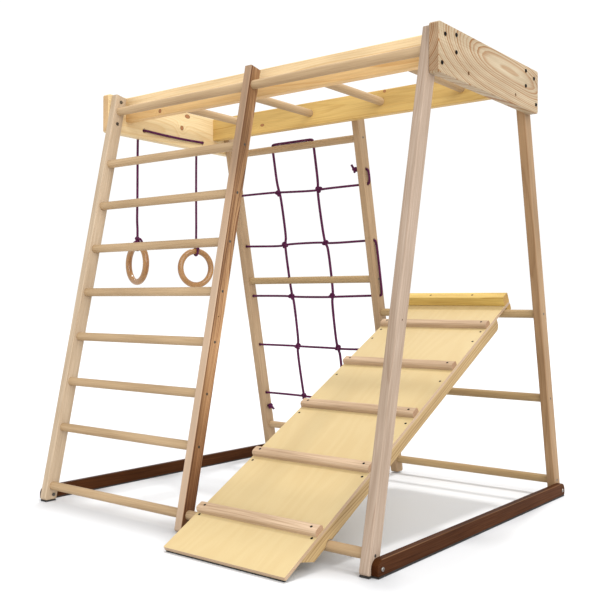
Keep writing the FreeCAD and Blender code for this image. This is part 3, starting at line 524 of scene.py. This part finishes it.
def wood(name, kind, grain, width, pith, seed, tilt=(0.0, 0.0), bow=(0.0, 0.0), knots=(), marks_and_painted_shade=None):
    """Solid timber for a CAD node. The pith is where the tree's middle lies from the piece's centre, and tilt
    is how far it runs out of line, both across the width and through the thickness. Bow is where along the
    grain it comes nearest and how fast it curves away. Rings show as lines along the piece and as arcs on
    its ends. Each knot is a place along the grain and across the width, a size and a stretch."""
    look = WOODS[kind]
    sh = Shader(name, look["rough"])
    sh.surface.inputs["Specular IOR Level"].default_value = OTHER_SHINES.get(kind, WOOD_SHINE)
    low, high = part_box(name)
    local = sh.place(grain, width, (low + high) / 2)
    x, y, z = sh.parts(local)
    fibres = sh.noise(sh.stretch(local, FIBRE_WAVES), seed, detail=3.0, rough=0.6)
    streaks = sh.noise(sh.stretch(local, STREAK_WAVES), seed + 5.0, detail=3.0, rough=0.55)
    radius = pith_distance(sh, look, local, seed, pith, tilt, bow)
    rings = sh.math("MULTIPLY_ADD", streaks, STREAK_BEND, sh.math("DIVIDE", radius, look["width"]))
    rings, nearest_knot = bend_round_knots(sh, rings, x, y, streaks, knots)
    each = sh.node("ShaderNodeTexWhiteNoise", {"W": sh.math("ADD", sh.math("FLOOR", rings), seed)},
                   noise_dimensions="1D")
    strength = sh.span(each, 0.0, 1.0, look["sharp"] * PALEST_RING, look["sharp"] * DARKEST_RING)
    dark = sh.math("MULTIPLY", sh.ramp(sh.math("FRACT", rings), RING_PROFILE), strength)
    colour = sh.mix(dark, (*look["early"], 1), (*look["late"], 1))
    tone = sh.noise(sh.stretch(local, TONE_WAVES), seed + 3.0)
    tone = sh.span(tone, 0.25, 0.75, 1 - look["tone"], 1 + look["tone"] * 0.5)
    fine = sh.span(fibres, 0.2, 0.8, 1 - look["fibre"], 1 + look["fibre"] * 0.35)
    shade = sh.math("MULTIPLY", tone, fine)
    levels = {0: shade, 1: sh.math("POWER", shade, GREEN_SHADE), 2: sh.math("POWER", shade, BLUE_SHADE)}
    colour = sh.mix(1.0, colour, sh.node("ShaderNodeCombineColor", levels), "MULTIPLY")
    normal = sh.node("ShaderNodeTexCoord", {}, "Normal")
    facing = sh.node("ShaderNodeVectorMath", {0: normal, 1: grain}, "Value", operation="DOT_PRODUCT")
    end = sh.span(sh.math("ABSOLUTE", facing), 0.75, 0.95)
    colour = sh.tint(end, colour, END_GRAIN)
    # Real marks, and on some pieces painted shade, by place
    if marks_and_painted_shade:
        colour = marks_and_painted_shade(sh, colour, (x, y, z), streaks)
    if nearest_knot is not None:
        colour = knot_colours(sh, colour, nearest_knot)
    sh.colour(colour)
    sh.gloss(sh.span(fibres, 0.2, 0.8, look["rough"] + 0.12, look["rough"] - 0.05))
    height = sh.math("MULTIPLY_ADD", fibres, 0.6, sh.math("MULTIPLY", dark, 0.25))
    sh.bump(height, 0.5, WOOD_BUMP)
    paint(name, sh.material)


def paint(node, material):
    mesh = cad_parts[node].data
    mesh.materials.clear()
    mesh.materials.append(material)


# Marks and painted shade change a wood's colour by place: metres from the piece's middle along the grain,
# across the width and through the thickness.

PALE_FRONT = (0.56, 0.42, 0.30, 1)
# Colour multiplied in for the painted shadow of the ramp near the middle front post's foot
RAMP_SHADOW_TINT = (0.52, 0.38, 0.28, 1)
RESIN = (0.10, 0.036, 0.015, 1)
# A line's place across the width, how far it wanders, between which heights it fades in, and its seed
RESIN_LINES = ((0.009, 0.020, -0.25, 0.05, 3.0), (0.016, 0.010, 0.0, 0.3, 8.0),
               (0.017, 0.003, -0.64, -0.60, 5.0))
RESIN_CORE, RESIN_EDGE = 0.8 * MM, 3.0 * MM


def post_marks_and_ramp_shadow(sh, colour, place, streaks):
    """Marks of the middle front post: a pale front face and resin lines that wander down its side face, and a
    painted shadow of the ramp that darkens the side face towards its foot."""
    x, y, z = place
    edge = sh.math("MULTIPLY_ADD", sh.math("SUBTRACT", streaks, 0.5), 0.004, y)
    pale = sh.mix(0.25, PALE_FRONT, colour)
    front = sh.math("MULTIPLY", sh.span(edge, 0.0185, 0.0205), sh.span(x, 0.0, 0.4, 0.9, 0.4))
    colour = sh.mix(front, colour, pale)
    for across, wander, low, high, seed in RESIN_LINES:
        sway = sh.noise(sh.node("ShaderNodeCombineXYZ", {0: x}), seed, 3.5)
        middle = sh.math("MULTIPLY_ADD", sway, wander, across - wander / 2)
        far = sh.math("ABSOLUTE", sh.math("SUBTRACT", edge, middle))
        strong = sh.math("MULTIPLY", sh.span(x, low, high), sh.span(streaks, 0.3, 0.6, 0.3, 0.9))
        resin = sh.math("MULTIPLY", sh.span(far, RESIN_CORE, RESIN_EDGE, 1.0, 0.0), strong)
        colour = sh.mix(resin, colour, RESIN)
    # Painted shadow of the ramp on the side face, towards the post's foot
    side = sh.math("MULTIPLY", sh.span(z, 0.0112, 0.0125), sh.span(x, -0.62, -0.25, 1.0, 0.0))
    return sh.tint(side, colour, RAMP_SHADOW_TINT)


def rod_shadow_lower_half(sh, colour, place, streaks):
    """A painted shadow of the front top rod: the lower half of the front long board tinted amber."""
    low = sh.span(sh.math("MULTIPLY_ADD", streaks, 0.012, place[1]), -0.004, 0.012, 1.0, 0.0)
    return sh.tint(low, colour, (0.88, 0.76, 0.58, 1))


def painted_inner_shade(sh, colour, place, streaks):
    """Painted shade on the face of a back post that looks inwards and down, away from the light."""
    inner = sh.span(sh.math("MULTIPLY_ADD", streaks, 0.003, place[1]), -0.0195, -0.0165, 1.0, 0.0)
    return sh.tint(inner, colour, (0.95, 0.91, 0.86, 1))


def rail_wear(sh, colour, place, streaks):
    """Stain rubbed thin along the top outer edge of a base rail."""
    top = sh.span(place[1], 0.0165, 0.0192)
    outer = sh.span(sh.math("MULTIPLY_ADD", streaks, 0.004, place[2]), 0.0085, 0.0115)
    worn = sh.math("MULTIPLY", sh.math("MULTIPLY", top, outer), 0.75)
    return sh.mix(worn, colour, (0.30, 0.17, 0.09, 1))


# Rods that are yellower than the rest
OLD_RODS = ("net_middle_rod", "ramp_rod", "back_middle_rod", "back_bottom_rod")


def paint_timber():
    """Every timber piece gets its own cut of wood: its place in the tree and its seed differ."""
    random.seed(21)
    # The right back leg gets painted shade on its inner face.
    legs = (("left_front_leg", -1, "birch", None), ("right_front_leg", -1, "beech", None),
            ("left_back_leg", 1, "ash", None), ("right_back_leg", 1, "amber", painted_inner_shade),
            ("middle_back_post", 1, "ash", None))
    for node, side, kind, marks_and_painted_shade in legs:
        pith = (random.uniform(0.04, 0.07), random.uniform(0.01, 0.05))
        wood(node, kind, up_the_lean(side), out_of_lean(side), pith, random.uniform(0, 90), marks_and_painted_shade=marks_and_painted_shade)
    wood("middle_front_post", "heart", up_the_lean(-1), out_of_lean(-1), (-0.03, 0.05), 4.2,
         marks_and_painted_shade=post_marks_and_ramp_shadow)
    rods = [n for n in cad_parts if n.endswith("_rod") or n.startswith("ladder_rung")]
    for node in sorted(rods):
        pith = (random.uniform(-0.05, 0.05), random.uniform(0.02, 0.06))
        wood(node, "old_rod" if node in OLD_RODS else "rod", X, Z, pith, random.uniform(0, 90))
    for number in range(1, 5):
        pith = (random.uniform(-0.05, 0.05), random.uniform(0.02, 0.06))
        wood(f"monkey_bar_{number}", "rod", Y, Z, pith, random.uniform(0, 90))
    # The front long board's lower half carries a painted shadow of the front top rod.
    wood("front_long_board", "honey", X, Z, (-0.01, 0.055), 12.0, (0.0, 0.02),
         knots=((-0.4368, -0.0257, 0.0065, 1.0),), marks_and_painted_shade=rod_shadow_lower_half)
    wood("back_long_board", "golden", X, Z, (0.01, 0.060), 31.0, (0.0, -0.02),
         knots=((0.158, 0.034, 0.0045, 1.3), (-0.36, -0.012, 0.005, 1.8)))
    wood("left_end_board", "knotty", Y, Z, (-0.015, -0.05), 17.0, (0.0, 0.03),
         knots=((0.0632, 0.0496, 0.0075, 1.7), (0.0359, 0.0033, 0.0085, 1.0)))
    wood("right_end_board", "cathedral", Y, Z, (0.028, -0.0079), 44.0, (0.06, 0.0), (0.120, 0.49))
    for node, grain in (("left_base_rail", -Y), ("right_base_rail", Y)):
        wood(node, "stained", grain, Z, (0.03, 0.03), random.uniform(0, 90), marks_and_painted_shade=rail_wear)
    for place, turn in RING_TURN.items():
        along = Vector((-math.sin(turn), math.cos(turn), 0))
        wood(f"ring_{place}", "varnished", along, Z, (0.10, 0.02), random.uniform(0, 90))
    for number in range(1, 6):
        pith = (random.uniform(-0.03, 0.03), random.uniform(-0.05, -0.02))
        wood(f"ramp_cleat_{number}", "cleat", X, UP_SLOPE, pith, random.uniform(0, 90))
    for node in ("ramp_left_rail", "ramp_right_rail"):
        wood(node, "larch", UP_SLOPE, OFF_SLOPE, (0.03, 0.05), random.uniform(0, 90))
    for node in ("ramp_top_bar", "ramp_hook_bar"):
        wood(node, "yellow", X, UP_SLOPE, (-0.04, 0.02), random.uniform(0, 90))


RAMP_PLY = 9.5 * MM
PLIES = 7
PLY_FACE, PLY_BAND = (0.525, 0.40, 0.195, 1), (0.47, 0.325, 0.14, 1)
PLY_PATCH = (0.55, 0.435, 0.225, 1)
PLY_FIBRE = (0.43, 0.27, 0.11, 1)
PLY_FLECK = (0.38, 0.23, 0.11, 1)
PLY_LENGTHWAYS = (0.50, 0.37, 0.24, 1)
PLY_CROSSWAYS_DARK, PLY_CROSSWAYS_PALE = (0.32, 0.18, 0.10, 1), (0.43, 0.28, 0.17, 1)
GLUE = (0.22, 0.10, 0.05, 1)


def plywood():
    """Birch plywood: a pale rotary-cut face with soft waves, and stripes of glued plies on its edges."""
    sh = Shader("birch_plywood", 0.42)
    low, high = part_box("ramp_board")
    face_middle = (low + high) / 2 + OFF_SLOPE * (RAMP_PLY / 2)
    local = sh.place(UP_SLOPE, -X, face_middle)
    _, y, z = sh.parts(local)
    fibres = sh.noise(sh.stretch(local, (14.0, 420.0, 420.0)), 8.0, detail=3.0, rough=0.6)
    depth = sh.math("DIVIDE", sh.math("MULTIPLY", z, -1.0), RAMP_PLY / PLIES)
    face = ply_face(sh, local, y, fibres)
    colour = sh.mix(sh.span(depth, 0.25, 0.45), face, ply_edge(sh, depth, fibres))
    colour = sh.mix(sh.span(depth, PLIES - 0.3, PLIES - 0.1), colour, face)
    sh.colour(colour)
    sh.gloss(sh.span(fibres, 0.2, 0.8, 0.50, 0.36))
    sh.bump(fibres, 0.35, 0.2 * MM)
    return sh.material


def ply_face(sh, local, y, fibres):
    """The face veneer: bands that wave along the board, pale patches, fine fibres and dark flecks."""
    waves = sh.noise(sh.stretch(local, (1.4, 7.0, 1.0)), 3.0)
    bands = sh.math("MULTIPLY_ADD", waves, 9.0, sh.math("MULTIPLY", y, 22.0))
    figure = sh.math("SINE", sh.math("MULTIPLY", bands, 2 * math.pi))
    flecks = sh.noise(sh.stretch(local, (90.0, 260.0, 260.0)), 15.0, rough=0.6)
    patches = sh.noise(sh.stretch(local, (2.5, 3.5, 1.0)), 21.0)
    face = sh.mix(sh.span(figure, -1.0, 1.0, 0.0, 0.28), PLY_FACE, PLY_BAND)
    face = sh.mix(sh.span(patches, 0.3, 0.7, 0.0, 0.45), face, PLY_PATCH)
    face = sh.mix(sh.span(fibres, 0.35, 0.75, 0.0, 0.22), face, PLY_FIBRE)
    return sh.mix(sh.span(flecks, 0.70, 0.80, 0.0, 0.5), face, PLY_FLECK)


def ply_edge(sh, depth, fibres):
    """Plies by depth, a whole number for each: lengthways and crossways by turns, with glue between."""
    odd = sh.math("FLOORED_MODULO", sh.math("FLOOR", depth), 2.0)
    crossways = sh.mix(fibres, PLY_CROSSWAYS_DARK, PLY_CROSSWAYS_PALE)
    edge = sh.mix(odd, PLY_LENGTHWAYS, crossways)
    glue = sh.math("MULTIPLY", sh.span(sh.math("FRACT", depth), 0.0, 0.12, 1.0, 0.0), 0.6)
    return sh.mix(glue, edge, GLUE)


ROPE_GROOVE, ROPE_THREAD = (0.030, 0.004, 0.019, 1), (0.100, 0.012, 0.060, 1)
ROPE_PATCH = (0.130, 0.020, 0.080, 1)
ROPE_SHEEN = (0.75, 0.35, 0.55, 1)


def rope_fibre():
    """Plum braided polyester: dark in the grooves, with lighter threads and a soft sheen."""
    sh = Shader("plum_rope", 0.7, Sheen_Weight=0.08, Sheen_Roughness=0.4, Specular_IOR_Level=0.15)
    sh.surface.inputs["Sheen Tint"].default_value = ROPE_SHEEN
    coordinates = sh.node("ShaderNodeTexCoord", {}, "Object")
    threads = sh.noise(coordinates, 2.0, scale=1400.0, rough=0.6)
    patches = sh.noise(coordinates, 9.0, scale=45.0)
    colour = sh.mix(sh.span(threads, 0.3, 0.7), ROPE_GROOVE, ROPE_THREAD)
    colour = sh.mix(sh.span(patches, 0.35, 0.7, 0.0, 0.4), colour, ROPE_PATCH)
    sh.colour(colour)
    sh.gloss(sh.span(threads, 0.3, 0.7, 0.85, 0.6))
    sh.bump(threads, 0.6, 0.3 * MM)
    return sh.material


def metal(name, dark, light, roughness, metallic):
    """Plated or blackened steel with fine brushing and a few duller patches."""
    sh = Shader(name, roughness, Metallic=metallic, Specular_IOR_Level=0.08)
    coordinates = sh.node("ShaderNodeTexCoord", {}, "Object")
    patches = sh.noise(coordinates, 4.0, scale=260.0, detail=3.0)
    fine = sh.noise(coordinates, 13.0, scale=2600.0)
    sh.colour(sh.mix(sh.span(patches, 0.3, 0.7), (*dark, 1), (*light, 1)))
    sh.gloss(sh.span(fine, 0.25, 0.75, roughness - 0.08, roughness + 0.15))
    sh.bump(fine, 0.2, 0.1 * MM)
    return sh.material


RUBBER, RUBBER_DUST = (0.012, 0.011, 0.010, 1), (0.050, 0.045, 0.040, 1)


def rubber():
    """Black rubber with a fine grit and some dust."""
    sh = Shader("black_rubber", 0.75)
    coordinates = sh.node("ShaderNodeTexCoord", {}, "Object")
    grit = sh.noise(coordinates, 6.0, scale=900.0, detail=3.0)
    dust = sh.noise(coordinates, 19.0, scale=30.0, detail=3.0)
    sh.colour(sh.mix(sh.span(dust, 0.45, 0.75, 0.0, 0.5), RUBBER, RUBBER_DUST))
    sh.gloss(sh.span(grit, 0.3, 0.7, 0.65, 0.85))
    sh.bump(grit, 0.4, 0.3 * MM)
    return sh.material


def paint_the_rest(ropes):
    paint("ramp_board", plywood())
    black = metal("black_steel", (0.002, 0.002, 0.002), (0.006, 0.006, 0.006), 0.5, 0.0)
    zinc = metal("zinc_steel", (0.06, 0.055, 0.05), (0.17, 0.155, 0.135), 0.4, 1.0)
    silver = metal("silver_steel", (0.20, 0.19, 0.18), (0.42, 0.40, 0.37), 0.35, 1.0)
    for node in ("end_board_bolts", "ramp_screws"):
        paint(node, black)
    for node in ("rod_screws", "sleeve_nuts"):
        paint(node, zinc)
    paint("rail_bolts", silver)
    black_rubber = rubber()
    for node in ("left_base_strip", "right_base_strip", "leg_pads", "ramp_foot_strip"):
        paint(node, black_rubber)
    fibre = rope_fibre()
    for piece in ropes:
        piece.data.materials.clear()
        piece.data.materials.append(fibre)


# ---- Floor and light

WORLD_LIGHT = 1.07        # strength that lights the scene
WORLD_SEEN = 1.05         # strength behind the object
FLOOR_SIZE = 60
FLOOR_COLOUR = (0.655, 0.66, 0.67, 1)   # with these lights it shows as white


def make_stage():
    """A white studio: an even glow all round, a small key from above and a broad fill from the right."""
    bpy.ops.mesh.primitive_plane_add(size=FLOOR_SIZE)
    floor = bpy.context.object
    floor.name = "floor"
    sh = Shader("floor_white", 0.9)
    sh.surface.inputs["Base Color"].default_value = FLOOR_COLOUR
    sh.surface.inputs["Specular IOR Level"].default_value = 0.0
    floor.data.materials.append(sh.material)
    world = bpy.data.worlds.new("studio")
    bpy.context.scene.world = world
    world.use_nodes = True
    tree = world.node_tree
    background = tree.nodes["Background"]
    background.inputs["Color"].default_value = (1.0, 1.0, 1.0, 1)
    seen = tree.nodes.new("ShaderNodeLightPath")
    strength = tree.nodes.new("ShaderNodeMapRange")
    strength.inputs["To Min"].default_value = WORLD_LIGHT
    strength.inputs["To Max"].default_value = WORLD_SEEN
    tree.links.new(seen.outputs["Is Camera Ray"], strength.inputs["Value"])
    tree.links.new(strength.outputs["Result"], background.inputs["Strength"])
    add_sun("key", towards=Vector((-0.05, 0.25, 0.97)), strength=1.65, spread=5)
    add_sun("fill", towards=Vector((0.76, -0.42, 0.45)), strength=2.0, spread=60)
    bpy.context.scene.view_settings.view_transform = "Standard"


def add_sun(name, towards, strength, spread):
    """A distant lamp in a direction, as wide in the sky as its spread in degrees."""
    data = bpy.data.lights.new(name, "SUN")
    data.energy = strength
    data.angle = math.radians(spread)
    lamp = bpy.data.objects.new(name, data)
    lamp.rotation_euler = (towards * -1).to_track_quat("-Z", "Y").to_euler()
    bpy.context.scene.collection.objects.link(lamp)


make_camera()
all_ropes = make_ropes()
paint_timber()
paint_the_rest(all_ropes)
make_stage()
